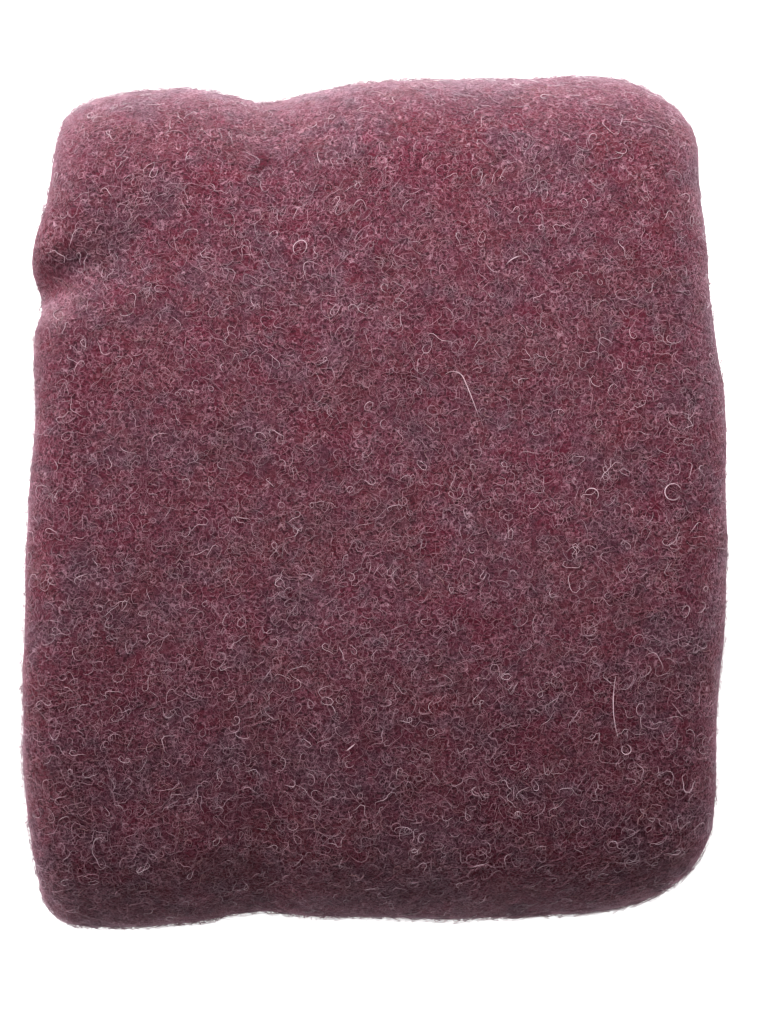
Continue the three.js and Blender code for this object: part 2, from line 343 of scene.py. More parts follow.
@dataclass(frozen=True)
class WoundForm:
    """The flat spiral in which the batt is wound, warped by the tables into the roll's real outline.

    A place on the batt is a step along it from the loose end and a share of its thickness, from 0 on the outer
    face to 1 on the inner one. All lengths are in millimetres.
    """

    roll_length: float = 272.0
    layer: float = 11.0
    whole_turns: int = 2
    tail_thickness: float = 2.5
    tail_taper: float = 46.0
    tail_shadow: float = 30.0
    tail_y: float = -46.0
    seam_half: float = 104.0
    groove_depth: float = 6.5
    edge_round: float = 4.5
    end_drop: float = 8.0
    end_drop_reach: float = 16.0
    head_left: float = 12.0
    head_right: float = 28.0
    foot_right: float = 35.0
    foot_left: float = 13.0
    flat_steps: int = 28
    bend_steps: int = 20

    @property
    def slots(self) -> int:
        """Steps in one turn."""
        return 2 * (self.flat_steps + self.bend_steps)

    @property
    def flat_step(self) -> float:
        """Length of one step on a flat stretch."""
        return 2 * self.seam_half / self.flat_steps

    @property
    def tail_slot(self) -> int:
        """The slot of the turn in which the loose end lies."""
        return round((self.tail_y + self.seam_half) / self.flat_step)

    @property
    def top_left_slot(self) -> int:
        """The slot in which the top stretch meets the lower side."""
        return 2 * self.flat_steps + self.bend_steps

    @property
    def start_step(self) -> int:
        """The step at which the batt starts, inside the roll."""
        return self.whole_turns * self.slots + self.top_left_slot - self.tail_slot

    def spiral_radius(self, step: np.ndarray) -> np.ndarray:
        """Outer radius of the turn at a step: half a layer, and one layer more for each turn further out."""
        return self.layer * (0.5 + (self.start_step + self.bend_steps / 2 - step) / self.slots)

    def outer_radius(self, step: np.ndarray) -> np.ndarray:
        """Outer radius where the outermost turn thins out towards the loose end."""
        thick = lerp(
            self.tail_thickness, self.layer, smoothstep(step * self.flat_step, 0, self.tail_taper)
        )
        outermost = self.spiral_radius(step + self.slots) + thick
        return np.where(step < self.slots, outermost, self.spiral_radius(step))

    def slot_frame(self, step: np.ndarray) -> tuple[np.ndarray, np.ndarray]:
        """Gives the seam's point under a step, and the angle that faces out from it.

        The seam's point goes along the flat stretches and waits in the bends, and the angle turns half a circle
        in each bend.
        """
        slot = (self.tail_slot + step) % self.slots
        half_turn = self.flat_steps + self.bend_steps
        along = np.clip(slot, 0, self.flat_steps) - np.clip(slot - half_turn, 0, self.flat_steps)
        bent = np.clip(slot - self.flat_steps, 0, self.bend_steps)
        bent = bent + np.clip(slot - self.top_left_slot, 0, self.bend_steps)
        return along * self.flat_step - self.seam_half, (bent / self.bend_steps - 0.5) * np.pi

    def inner_line(
        self, step: np.ndarray, seam: np.ndarray, out: np.ndarray
    ) -> tuple[np.ndarray, np.ndarray]:
        """Gives the inner face in the plain section: on the next turn, round the start, or on the seam.

        Args:
            step: Steps along the batt.
            seam: The seam's points under them.
            out: The angles that face out there.

        Returns:
            Its y and z.
        """
        last_turn = step - (self.start_step - self.slots)
        round_start = lerp(
            self.spiral_radius(float(self.start_step)),
            self.layer / 2,
            np.clip(last_turn / self.bend_steps, 0, 1),
        )
        radius = np.where(last_turn <= 0, self.spiral_radius(step + self.slots), round_start)
        on_seam = last_turn > self.bend_steps
        seam_z = self.layer * (seam - self.seam_half) / (4 * self.seam_half)
        y = np.where(on_seam, seam, seam + radius * np.cos(out))
        return y, np.where(on_seam, seam_z, radius * np.sin(out))

    def stack_at(self, y: np.ndarray) -> tuple[np.ndarray, np.ndarray]:
        """Gives the plain section's height above and below the seam at places across the roll."""
        place = (np.clip(y, -self.seam_half, self.seam_half) + self.seam_half) / self.flat_step
        bottom = place - self.tail_slot
        above = self.outer_radius(self.top_left_slot - place - self.tail_slot)
        lift = 1 - smoothstep(-bottom * self.flat_step, 0, self.tail_shadow)
        past_tail = self.spiral_radius(bottom + self.slots) + self.tail_thickness * lift
        return above, np.where(bottom >= 0, self.outer_radius(bottom), past_tail)

    def side_reach(self, slot: float) -> float:
        """How far a rolled side reaches from the middle, at the slot in the middle of its bend."""
        return self.seam_half + float(self.outer_radius(np.array(slot - self.tail_slot)))

    def joint_depth(self, step: np.ndarray, share: np.ndarray) -> np.ndarray:
        """How far the batt's edge is drawn in at its faces: less on the outermost edge than in the joints."""
        turned = step + np.where(share < 0.5, 0, self.slots)
        into = smoothstep(turned, self.slots, self.slots + self.bend_steps / 2)
        return lerp(self.edge_round, self.groove_depth, into)

    def hollow_depth(self, x: np.ndarray, y: np.ndarray) -> np.ndarray:
        """Depth of all the soft hollows: each is its depth times e to the minus squared distance."""
        depth = np.zeros(np.broadcast(x, y).shape)
        for row in HOLLOWS:
            cos, sin = math.cos(row["turn"]), math.sin(row["turn"])
            along = ((x - row["x"]) * cos + (y - row["y"]) * sin) / row["reach_x"]
            across = ((y - row["y"]) * cos - (x - row["x"]) * sin) / row["reach_y"]
            depth += row["depth"] * np.exp(-along * along - across * across)
        return depth

    def place(
        self,
        step: np.ndarray,
        share: np.ndarray,
        along: np.ndarray,
        inset: np.ndarray,
        reach: np.ndarray,
    ) -> np.ndarray:
        """Gives points of the roll.

        The plain section's point is a blend of its outer and inner line. Its y becomes a share of the way
        between the two rolled sides, its z a share of the stack's height there, and its place along the axis
        runs from the left end to the right one.

        Args:
            step: Steps along the batt.
            share: Shares of its thickness.
            along: Places along the axis, from 0 at the left end to 1 at the right one.
            inset: How far the ends are drawn in there.
            reach: How far the batt goes on past its own end, flat.

        Returns:
            Points in millimetres, with x, y and z last.
        """
        seam, out = self.slot_frame(step)
        outer = self.outer_radius(step)
        inner_y, inner_z = self.inner_line(step, seam, out)
        y = lerp(seam + outer * np.cos(out), inner_y, share) - reach
        z = lerp(outer * np.sin(out), inner_z, share)
        foot_reach = self.side_reach(self.top_left_slot + self.bend_steps / 2)
        head_reach = self.side_reach(self.flat_steps + self.bend_steps / 2)
        across = (y + foot_reach) / (head_reach + foot_reach)
        plain_y = (across - 0.5) * self.roll_length
        from_head, from_foot = self.roll_length / 2 - plain_y, self.roll_length / 2 + plain_y
        turn = (step + self.slots * share) / self.slots
        left = (
            smooth_column(ENDS, "y", "left")(plain_y)
            + round_inset(self.head_left, from_head)
            + round_inset(self.foot_left, from_foot)
            + smooth_column(TURN_EDGES, "turn", "left")(turn)
            + inset
        )
        right = (
            smooth_column(ENDS, "y", "right")(plain_y)
            - round_inset(self.head_right, from_head)
            - round_inset(self.foot_right, from_foot)
            - smooth_column(TURN_EDGES, "turn", "right")(turn)
            - inset
        )
        x = lerp(left, right, along)
        foot, head = smooth_column(SIDES, "x", "foot")(x), smooth_column(SIDES, "x", "head")(x)
        above, below = self.stack_at(y)
        to_end = np.minimum(x - left, right - x) + inset
        drop = self.end_drop * np.clip(1 - to_end / self.end_drop_reach, 0, 1) ** 2
        real_y = lerp(foot, head, across)
        height = smooth_column(CROWN, "y", "height")(plain_y) - drop - self.hollow_depth(x, real_y)
        level = np.maximum((z + below) / (above + below), 0)
        return np.stack(np.broadcast_arrays(x, real_y, level * height), axis=-1)


@dataclass
class Skin:
    """The batt's surface as a grid: rings along the batt, each a closed loop of columns round its thickness."""

    points: np.ndarray
    normals: np.ndarray
    weights: np.ndarray

    def roots(
        self, count: int, under: float, steep_from: float, rng: np.random.Generator
    ) -> tuple[np.ndarray, np.ndarray]:
        """Scatters fibre roots over what shows, evenly by area, with fewer underneath.

        Args:
            count: Number of roots.
            under: Share of the usual density on the underside.
            steep_from: How steep the surface has to be, from -1 for everywhere to 1 for upright walls only.
            rng: Source of random numbers.

        Returns:
            Their places along the rings and the columns.
        """
        along, across = self.slopes()
        area = np.linalg.norm(np.cross(along, across), axis=-1)
        facing = lerp(under, 1.0, smoothstep(self.normals[..., 2], *UNDERSIDE))
        steep = 1 - np.abs(self.normals[..., 2])
        facing = facing * smoothstep(steep, steep_from, steep_from + STEEP_SPAN)
        chance = (area * facing * self.weights)[:-1].ravel()
        cell = rng.choice(len(chance), count, p=chance / chance.sum())
        ring, column = np.divmod(cell, self.points.shape[1])
        return ring + rng.random(count), column + rng.random(count) - 0.5

    def slopes(self) -> tuple[np.ndarray, np.ndarray]:
        """Gives how the surface moves from ring to ring and from column to column, in millimetres."""
        across = (np.roll(self.points, -1, axis=1) - np.roll(self.points, 1, axis=1)) / 2
        return np.gradient(self.points, axis=0), across

    def walk(
        self, ring: np.ndarray, column: np.ndarray, headings: np.ndarray, pace: np.ndarray
    ) -> tuple[np.ndarray, np.ndarray]:
        """Walks over the surface from many places at once.

        At each station the pace is split by the heading's cosine along the rings and its sine along the columns,
        and divided by how far one ring or column is there.

        Args:
            ring: Where the walks start along the rings.
            column: Where they start along the columns.
            headings: Angles in radians, one row a walk and one column a station.
            pace: Millimetres between two stations, one a walk.

        Returns:
            The points on the surface and the normals there, by walk and station.
        """
        along, across = (np.linalg.norm(grid, axis=-1, keepdims=True) for grid in self.slopes())
        rings, columns = [ring], [column]
        for heading in headings.T:
            a_ring = np.maximum(self.between(along, ring, column)[..., 0], LEAST_SPACING)
            a_column = np.maximum(self.between(across, ring, column)[..., 0], LEAST_SPACING)
            ring = ring + pace * np.cos(heading) / a_ring
            column = column + pace * np.sin(heading) / a_column
            rings.append(ring)
            columns.append(column)
        at = np.stack(rings, 1), np.stack(columns, 1)
        return self.between(self.points, *at), unit(self.between(self.normals, *at))

    @staticmethod
    def between(grid: np.ndarray, ring: np.ndarray, column: np.ndarray) -> np.ndarray:
        """Reads a grid at places between its rings and columns, as the blend of the four nearest ones.

        Args:
            grid: Values by ring and column, with the columns in a closed loop.
            ring: Places along the rings.
            column: Places along the columns.

        Returns:
            The values there.
        """
        rings, columns = grid.shape[:2]
        ring = np.clip(ring, 0, rings - 1.001)
        low_ring, low_column = np.floor(ring).astype(int), np.floor(column).astype(int)
        t, s = (ring - low_ring)[..., None], (column - low_column)[..., None]
        here, beyond = low_column % columns, (low_column + 1) % columns
        low = lerp(grid[low_ring, here], grid[low_ring, beyond], s)
        high = lerp(grid[low_ring + 1, here], grid[low_ring + 1, beyond], s)
        return lerp(low, high, t)


@dataclass
class WoundBatt:
    """The batt itself: a thick soft sheet with rounded edges, swept along the flat spiral.

    Lengths are in millimetres. The gap is what stays open between two turns, as a share of a layer.
    """

    form: WoundForm
    gap: float = 0.06
    face_columns: int = 58
    inner_columns: int = 16
    edge_columns: int = 9
    outer_spacing: float = 0.5
    inner_spacing: float = 2.4
    end_rings: int = 6
    tail_reach: float = 3.0
    start_reach: float = 4.8
    lump_sizes: tuple[float, ...] = (26.0, 11.0, 5.5)
    lump_heights: tuple[float, ...] = (0.55, 0.32, 0.16)
    lumps_set_in: Span = (1.0, 12.0)
    edge_wave: float = 0.9
    edge_wave_size: float = 24.0
    nap_room: float = 0.6
    seed: int = 7
    obj: bpy.types.Object | None = field(default=None, init=False)

    def rings(self) -> tuple[np.ndarray, np.ndarray, np.ndarray]:
        """Gives the rings along the batt.

        Both ends are rounded: past the end itself the rings reach on by the sine of an angle, while the
        thickness that is left falls with its cosine.

        Returns:
            For each ring its step, its reach past the batt's own end, and the thickness that is left as a share.
        """
        exposed = self.form.slots + self.form.bend_steps / 2
        outer = np.arange(0, exposed, self.outer_spacing)
        inner = np.linspace(
            exposed,
            self.form.start_step,
            math.ceil((self.form.start_step - exposed) / self.inner_spacing) + 1,
        )
        steps = np.concatenate([outer, inner])
        angle = np.linspace(0, np.pi / 2, self.end_rings + 2)[1:-1]
        tail = (np.zeros_like(angle), self.tail_reach * np.sin(angle), np.cos(angle))
        start = (np.full_like(angle, steps[-1]), self.start_reach * np.sin(angle), np.cos(angle))
        plain = (steps, np.zeros_like(steps), np.ones_like(steps))
        return tuple(
            np.concatenate([near_tail[::-1], middle, near_start])
            for near_tail, middle, near_start in zip(tail, plain, start, strict=True)
        )

    def columns(self) -> tuple[np.ndarray, np.ndarray, np.ndarray]:
        """Gives the loop of columns round the batt: outer face, right edge, inner face, left edge.

        On the faces the columns crowd towards both ends, as half a straight line and half a sine. Each edge is
        a half circle, so the share of the thickness follows a cosine, and the draught a sine.

        Returns:
            For each column its place along the axis, its share of the thickness, and how far it is drawn in as a
            share of the joint's depth.
        """

        def eased(count: int) -> np.ndarray:
            place = np.linspace(-1, 1, count)
            return (0.5 * place + 0.5 * np.sin(place * np.pi / 2) + 1) / 2

        face, inner = eased(self.face_columns), eased(self.inner_columns)
        angle = np.linspace(0, np.pi, self.edge_columns + 2)[1:-1]
        through, drawn = (1 - np.cos(angle)) / 2, 1 - np.sin(angle)
        along = [face, np.ones_like(angle), inner[::-1], np.zeros_like(angle)]
        share = [np.zeros_like(face), through, np.ones_like(inner), through[::-1]]
        inset = [np.ones_like(face), drawn, np.ones_like(inner), drawn[::-1]]
        return np.concatenate(along), np.concatenate(share) * (1 - self.gap), np.concatenate(inset)

    def skin(self) -> Skin:
        """Works out the whole surface, with its lumps, and how much of it can be seen.

        The lumps push the surface along its normal by a sum of lattice noises, less on the flat underside. The
        edges also wander in and out along the axis.

        Returns:
            The surface's grid, in millimetres.
        """
        step, reach, thin = (values[:, None] for values in self.rings())
        along, share, drawn = (values[None, :] for values in self.columns())
        middle = np.where(step < self.form.slots, 0.0, (1 - self.gap) / 2)
        share = lerp(middle, share, thin)
        plain = self.form.place(step, share, along, np.zeros_like(step * drawn), reach)
        wander = lattice_noise(plain, self.edge_wave_size, self.seed) * self.edge_wave
        wander = np.maximum(wander + self.edge_wave / 2, 0) + self.nap_room
        inset = self.form.joint_depth(step, share) * drawn + wander
        points = self.form.place(step, share, along, inset, reach)
        normals = grid_normals(points)
        high = smoothstep(points[..., 2], *self.lumps_set_in)
        lumps = np.zeros(points.shape[:-1])
        for number, (size, height) in enumerate(zip(self.lump_sizes, self.lump_heights, strict=True)):
            lumps += lattice_noise(points, size, self.seed + 1 + number) * height
        points = points + (normals * (lumps * high)[..., None])
        points[..., 2] = np.maximum(points[..., 2], 0)
        return Skin(points, grid_normals(points), self.visible(step, along))

    def visible(self, step: np.ndarray, along: np.ndarray) -> np.ndarray:
        """Says how much of each ring and column shows: all edges, and the outer face of the outermost turn."""
        column = np.arange(along.shape[1])[None, :]
        on_face = column < self.face_columns
        inner_start = self.face_columns + self.edge_columns
        on_inner = (column >= inner_start) & (column < inner_start + self.inner_columns)
        exposed = step <= self.form.slots
        return np.where(on_face, exposed, ~on_inner).astype(float)

    def build(self) -> Skin:
        """Makes the batt's mesh: the grid's quads, and a closed strip of quads over each of its two ends.

        Returns:
            The surface, centred like the solid, for what lies on it.
        """
        skin = self.skin()
        low, high = (np.array(corner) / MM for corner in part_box(NODE))
        spread = skin.points.reshape(-1, 3)
        centre = (low + high) / 2 - (spread.min(0) + spread.max(0)) / 2
        skin.points = skin.points + np.array([centre[0], centre[1], 0.0])
        rings, columns = skin.points.shape[:2]
        number = np.arange(rings * columns).reshape(rings, columns)
        beyond = np.roll(number, -1, axis=1)
        sides = np.stack([number[:-1], number[1:], beyond[1:], beyond[:-1]], -1).reshape(-1, 4)
        corners = np.concatenate([sides, self.end_strip(number[0]), self.end_strip(number[-1])[:, ::-1]])
        points = skin.points.reshape(-1, 3) * MM
        self.obj = mesh_object("wound_batt", points, corners.ravel(), np.full(len(corners), 4))
        # Painted rim light: how much lighter the batt is painted where it turns over
        rim_light = self.obj.data.attributes.new("rim_light", "FLOAT", "POINT")
        rim_light.data.foreach_set("value", rim_light_mask(skin.normals).astype(np.float32).ravel())
        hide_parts(NODE)
        add_to_frame(self.obj)
        return skin

    def end_strip(self, ring: np.ndarray) -> np.ndarray:
        """Closes a ring with quads from its outer half to its inner half, as a ladder's rungs join its rails."""
        half = len(ring) // 2
        outer, inner = ring[:half], ring[half:][::-1]
        count = min(len(outer), len(inner)) - 1
        return np.stack([outer[:count], outer[1 : count + 1], inner[1 : count + 1], inner[:count]], -1)


def grid_normals(points: np.ndarray) -> np.ndarray:
    """Gives unit normals on a grid whose columns close into a loop.

    The normal is the cross product of the differences between the next and the last column and ring.
    """
    along = np.gradient(points, axis=0)
    across = np.roll(points, -1, axis=1) - np.roll(points, 1, axis=1)
    return unit(np.cross(along, across))


def rim_light_mask(normals: np.ndarray) -> np.ndarray:
    """Says how much painted rim light a place gets, by the normals: fully where the batt turns over, little on
    its walls.
    """
    level = normals[..., 2]
    return smoothstep(1 - level, *RIM_LIGHT_BELOW_TOP) * smoothstep(level, *RIM_LIGHT_ABOVE_WALL)


def unit(vectors: np.ndarray) -> np.ndarray:
    """Brings vectors to length 1."""
    return vectors / np.maximum(np.linalg.norm(vectors, axis=-1, keepdims=True), TINY)


def tapered(half_width: np.ndarray, arch: np.ndarray) -> np.ndarray:
    """Gives radii along fibres: half the width where the arch is 1, and its tip's share where it is 0."""
    return half_width * lerp(TIP_WIDTH, 1.0, arch)


def fibre_mesh(
    name: str, centres: np.ndarray, up: np.ndarray, radius: np.ndarray, tone: np.ndarray
) -> bpy.types.Object:
    """Makes closed three-sided tubes along many centre lines at once.

    A tube's section stands across the line's own direction: its three corners lie a third of a turn apart, the
    first of them on the side of the surface's normal. Each fibre has a cell of its own on the bake map, in which
    its three sides lie side by side. The attribute tone is the fibre's own random shade, the attribute tip is 0
    at both ends of a fibre, where it dips into the batt, and 1 in its middle, and a third attribute holds how
    much painted rim light the batt has under it.

    Args:
        name: Name of the piece.
        centres: Points in millimetres, by fibre and station.
        up: Normals of the surface there.
        radius: Radii in millimetres, by fibre and station.
        tone: Each fibre's shade from 0 to 1.

    Returns:
        The object.
    """
    count, stations = centres.shape[:2]
    ahead = unit(np.gradient(centres, axis=1))
    aside = unit(np.cross(up, ahead))
    rise = np.cross(ahead, aside)
    angle = np.arange(3) * 2 * np.pi / 3
    spokes = (
        rise[:, :, None] * np.cos(angle)[:, None] + aside[:, :, None] * np.sin(angle)[:, None]
    )
    points = (centres[:, :, None] + spokes * radius[:, :, None, None]).reshape(-1, 3) * MM

    number = np.arange(count * stations * 3).reshape(count, stations, 3)
    beyond = np.roll(number, -1, axis=2)
    sides = np.stack([number[:, :-1], number[:, 1:], beyond[:, 1:], beyond[:, :-1]], -1)
    sides = sides.reshape(count, -1)
    caps = np.concatenate([number[:, 0], number[:, -1, ::-1]], axis=1)
    corners = np.concatenate([sides, caps], axis=1).ravel()
    quads = (stations - 1) * 3
    shape = np.tile(np.concatenate([np.full(quads, 4), np.full(2, 3)]), count)

    obj = mesh_object(name, points, corners, shape, fibre_cells(count, stations))
    mesh = obj.data
    place = np.linspace(0, 1, stations)
    tip = np.broadcast_to(np.sin(np.pi * place)[None, :, None], (count, stations, 3))
    shade = np.broadcast_to(tone[:, None, None], (count, stations, 3))
    # Painted rim light of the batt under each fibre
    rim_light = np.broadcast_to(rim_light_mask(up)[..., None], (count, stations, 3))
    for attribute, values in (("tone", shade), ("tip", tip), ("rim_light", rim_light)):
        layer = mesh.attributes.new(attribute, "FLOAT", "POINT")
        layer.data.foreach_set("value", values.astype(np.float32).ravel())
    return obj


def fibre_cells(count: int, stations: int) -> np.ndarray:
    """Lays each fibre's faces out in a square cell of its own on the bake map.

    The sides of the tube are three strips across the cell, with a station's share of its height each, and the
    two end caps lie above them.

    Args:
        count: Number of fibres.
        stations: Points along each.

    Returns:
        A place on the map for every corner, in the order of the mesh.
    """
    cells = math.ceil(math.sqrt(count))
    margin, cap_height = 0.07, 0.1
    wide = (1 - 2 * margin) / 3
    tall = (1 - 2 * margin - cap_height) / (stations - 1)
    station, side = np.divmod(np.arange((stations - 1) * 3), 3)
    low = np.stack([margin + side * wide, margin + station * tall], -1)[:, None]
    step = np.array([[0, 0], [0, tall], [wide, tall], [wide, 0]])
    quads = (low + step).reshape(-1, 2)
    cap = np.array([[0.0, 0.3], [0.4, 0.3], [0.2, 1.0]]) * [1 - 2 * margin, cap_height]
    top = 1 - margin - cap_height
    caps = np.concatenate([cap + [margin, top], cap + [0.5, top]])
    one = np.concatenate([quads, caps])
    row, column = np.divmod(np.arange(count), cells)
    cell = np.stack([column, row], -1)[:, None]
    return ((cell + one) / cells).reshape(-1, 2)


@dataclass(frozen=True)
class Dye:
    """The darkest and the lightest shade of one dyed wool."""

    dark: str
    light: str


class Wool(Enum):
    """The dyed wools that are carded together in the batt."""

    WINE = Dye("#5b303c", "#7e4f5c")
    ROSE = Dye("#67404b", "#8d616d")
    MAUVE = Dye("#705059", "#b08d98")
    SLATE = Dye("#694f5a", "#a0848f")
    PALE = Dye("#a08690", "#dcc2cb")
    RUSSET = Dye("#6e4648", "#936d6b")
    # The fringe is painted paler than the wools it stands out of: painted light for fringe fibres lit from behind
    BACKLIT_FRINGE = Dye("#93707c", "#c4a3ae")


@dataclass
class FibreNap:
    """The curly nap of one dyed wool: crimped fibres that lie on the batt and stand a little out of it.

    Lengths are in millimetres. A fibre's heading turns at an even rate, its curl, and swings to both sides, its
    crimp. Its ends dip into the batt, and most of its middle lies just on it.
    """

    wool: Wool
    count: int
    seed: int
    segments: int = 8
    length: Span = (6.0, 13.0)
    curl_radius: Span = (1.1, 4.5)
    crimp: Span = (0.3, 1.1)
    crimp_length: Span = (4.0, 9.0)
    width: Span = (0.11, 0.2)
    rooted: float = 0.35
    lift: Span = (0.05, 0.75)
    high_share: float = 0.08
    high_lift: float = 1.5
    high_range: Span = (0.6, 1.0)
    arch_power: float = 0.7
    steep_from: float = -1.0
    under: float = 0.15
    obj: bpy.types.Object | None = field(default=None, init=False)

    def headings(self, length: np.ndarray, rng: np.random.Generator) -> np.ndarray:
        """Gives each fibre's heading at each segment: a random start, plus curl times length, plus the crimp."""
        count = self.count
        middle = (np.arange(self.segments) + 0.5) / self.segments
        run = length[:, None] * middle
        tightest, widest = self.curl_radius
        bend = rng.uniform(1 / widest, 1 / tightest, count) * rng.choice([-1.0, 1.0], count)
        swing = rng.uniform(*self.crimp, count)
        wave = 2 * np.pi / rng.uniform(*self.crimp_length, count)
        phase, start = rng.uniform(0, 2 * np.pi, (2, count))
        crimp = swing[:, None] * np.sin(wave[:, None] * run + phase[:, None])
        return start[:, None] + bend[:, None] * run + crimp

    def build(self, skin: Skin) -> None:
        """Makes the nap's mesh on the batt's surface."""
        rng = np.random.default_rng(self.seed)
        ring, column = skin.roots(self.count, self.under, self.steep_from, rng)
        length = rng.uniform(*self.length, self.count)
        headings = self.headings(length, rng)
        points, normals = skin.walk(ring, column, headings, length / self.segments)
        lift = rng.uniform(*self.lift, self.count)
        high = rng.random(self.count) < self.high_share
        lift = np.where(high, self.high_lift * rng.uniform(*self.high_range, self.count), lift)
        arch = np.sin(np.pi * np.linspace(0, 1, self.segments + 1)) ** self.arch_power
        height = lerp(-self.rooted, lift[:, None], arch)
        centres = points + normals * height[..., None]
        half_width = rng.uniform(*self.width, self.count)[:, None] / 2
        radius = tapered(half_width, arch)
        centres[..., 2] = np.maximum(centres[..., 2], radius / 2)
        name = f"nap_{self.wool.name.lower()}"
        self.obj = fibre_mesh(name, centres, normals, radius, rng.random(self.count))
        add_to_frame(self.obj)


@dataclass(frozen=True)
class Hair:
    """One longer stray hair, lying on the top.

    Its root's x and y and its length are in millimetres. Its heading and turn are in degrees, seen from above and
    against the clock. The turn is made round the middle of bend, over spread, both shares of the length.
    """

    x: float
    y: float
    length: float
    heading: float
    turn: float
    bend: float = 0.5
    spread: float = 1.0
    lift: float = 1.0
    width: float = 0.3


STRAY_HAIRS: tuple[Hair, ...] = (
    Hair(x=21.6, y=39.8, length=20.5, heading=35, turn=-105, bend=0.2, spread=0.3),
    Hair(x=41.4, y=75.4, length=6.0, heading=45, turn=-35),
    Hair(x=75.7, y=-53.6, length=21.0, heading=-95, turn=20, bend=0.5, spread=0.8),
    Hair(x=76.6, y=-74.1, length=8.5, heading=-150, turn=330, bend=0.5, spread=1.0),
    Hair(x=-6.2, y=-77.6, length=3.6, heading=50, turn=-20, width=0.42),
    Hair(x=-23.2, y=78.2, length=13.0, heading=0, turn=350),
    Hair(x=66.6, y=4.3, length=8.0, heading=80, turn=-220),
    Hair(x=93.9, y=5.0, length=15.0, heading=90, turn=340),
)


@dataclass
class StrayHairs:
    """The few longer pale hairs that lie loose on the top."""

    hairs: tuple[Hair, ...] = STRAY_HAIRS
    segments: int = 24
    rooted: float = 0.3
    arch_power: float = 0.5
    least_level: float = 0.5
    obj: bpy.types.Object | None = field(default=None, init=False)

    def build(self, skin: Skin) -> None:
        """Makes the hairs' mesh: each starts at the surface's grid point nearest its root, seen from above."""
        roots = np.array([(hair.x, hair.y) for hair in self.hairs])
        top = np.argwhere((skin.weights > 0) & (skin.normals[..., 2] > self.least_level))
        spots = skin.points[top[:, 0], top[:, 1], :2]
        nearest = np.linalg.norm(spots[None] - roots[:, None], axis=-1).argmin(1)
        ring, column = top[nearest].T.astype(float)
        place = (np.arange(self.segments) + 0.5) / self.segments
        names = ("length", "heading", "turn", "bend", "spread", "lift", "width")
        table = {name: np.array([[getattr(hair, name)] for hair in self.hairs]) for name in names}
        turned = np.clip((place - table["bend"]) / table["spread"] + 0.5, 0, 1)
        headings = np.radians(table["heading"] + table["turn"] * turned) + np.pi / 2
        points, normals = skin.walk(ring, column, headings, table["length"][:, 0] / self.segments)
        arch = np.sin(np.pi * np.linspace(0, 1, self.segments + 1)) ** self.arch_power
        height = lerp(-self.rooted, table["lift"], arch)
        radius = tapered(table["width"] / 2, arch)
        centres = points + normals * height[..., None]
        self.obj = fibre_mesh("stray_hairs", centres, normals, radius, np.ones(len(self.hairs)))
        add_to_frame(self.obj)


def arithmetic(tree: Tree, operation: str, *values: Socket | float) -> Socket:
    """Adds one step of arithmetic on values."""
    return add_node(tree, "ShaderNodeMath", {"operation": operation}, dict(enumerate(values))).outputs[0]


def on_places(tree: Tree, operation: str, *places: Socket | tuple[float, ...]) -> bpy.types.Node:
    """Adds one step of arithmetic on places."""
    return add_node(tree, "ShaderNodeVectorMath", {"operation": operation}, dict(enumerate(places)))


def times(tree: Tree, value: Socket, by: Socket | float) -> Socket:
    """Adds the product of a socket and a number or another socket."""
    return arithmetic(tree, "MULTIPLY", value, by)


def shifted(tree: Tree, place: Socket, shift: float) -> Socket:
    """Adds places moved by some millimetres along every axis, where the same pattern looks like another."""
    return on_places(tree, "ADD", place, (shift * MM,) * 3).outputs[0]


def mixed(
    tree: Tree, share: Socket | float, first: Colour | Socket, second: Colour | Socket, way: str = "MIX"
) -> Socket:
    """Adds a mix of two colours by a share, in one of Blender's ways of blending."""
    settings = {"data_type": "RGBA", "blend_type": way}
    return add_node(tree, "ShaderNodeMix", settings, {0: share, 6: first, 7: second}).outputs[2]


def noise(tree: Tree, place: Socket, size: float, detail: float = 1.0, roughness: float = 0.5) -> bpy.types.Node:
    """Adds a smooth noise whose lumps have a size in millimetres."""
    inputs = {"Vector": place, "Scale": 1 / (size * MM), "Detail": detail, "Roughness": roughness}
    return add_node(tree, "ShaderNodeTexNoise", None, inputs)


def clouds(tree: Tree, place: Socket, size: float) -> Socket:
    """Adds uneven soft patches of a size in millimetres, as values round a half."""
    return noise(tree, place, size, detail=2.0, roughness=0.6).outputs["Fac"]


def ramp(
    tree: Tree, value: Socket, over: Span, to: Span = (0.0, 1.0), soft: bool = True
) -> Socket:
    """Adds a value that goes from one level to another, and stays level beyond both.

    Args:
        tree: The nodes.
        value: The socket that it depends on.
        over: That socket's values at the first and the second level. The second may be the lower one.
        to: The two levels.
        soft: Whether it goes as a smoothstep, or straight.

    Returns:
        The socket that holds it.
    """
    settings = {"interpolation_type": "SMOOTHSTEP" if soft else "LINEAR"}
    inputs = {"Value": value, "From Min": over[0], "From Max": over[1], "To Min": to[0], "To Max": to[1]}
    return add_node(tree, "ShaderNodeMapRange", settings, inputs).outputs["Result"]


def end_in_shader(tree: Tree, inputs: dict[str, object]) -> None:
    """Ends a material in one Principled shader."""
    shader = add_node(tree, "ShaderNodeBsdfPrincipled", None, inputs)
    add_node(tree, "ShaderNodeOutputMaterial", None, {"Surface": shader.outputs["BSDF"]})


@dataclass(frozen=True)
class Lustre:
    """How a wool takes the light: nearly matt, with the soft sheen of fibres that stand up."""

    roughness: float
    shine: float
    sheen: float
    sheen_roughness: float
    sheen_tint: str

    def inputs(self) -> dict[str, object]:
        """Gives the shader's inputs for it."""
        return {
            "Roughness": self.roughness,
            "Specular IOR Level": self.shine,
            "Sheen Weight": self.sheen,
            "Sheen Roughness": self.sheen_roughness,
            "Sheen Tint": linear_colour(self.sheen_tint),
        }


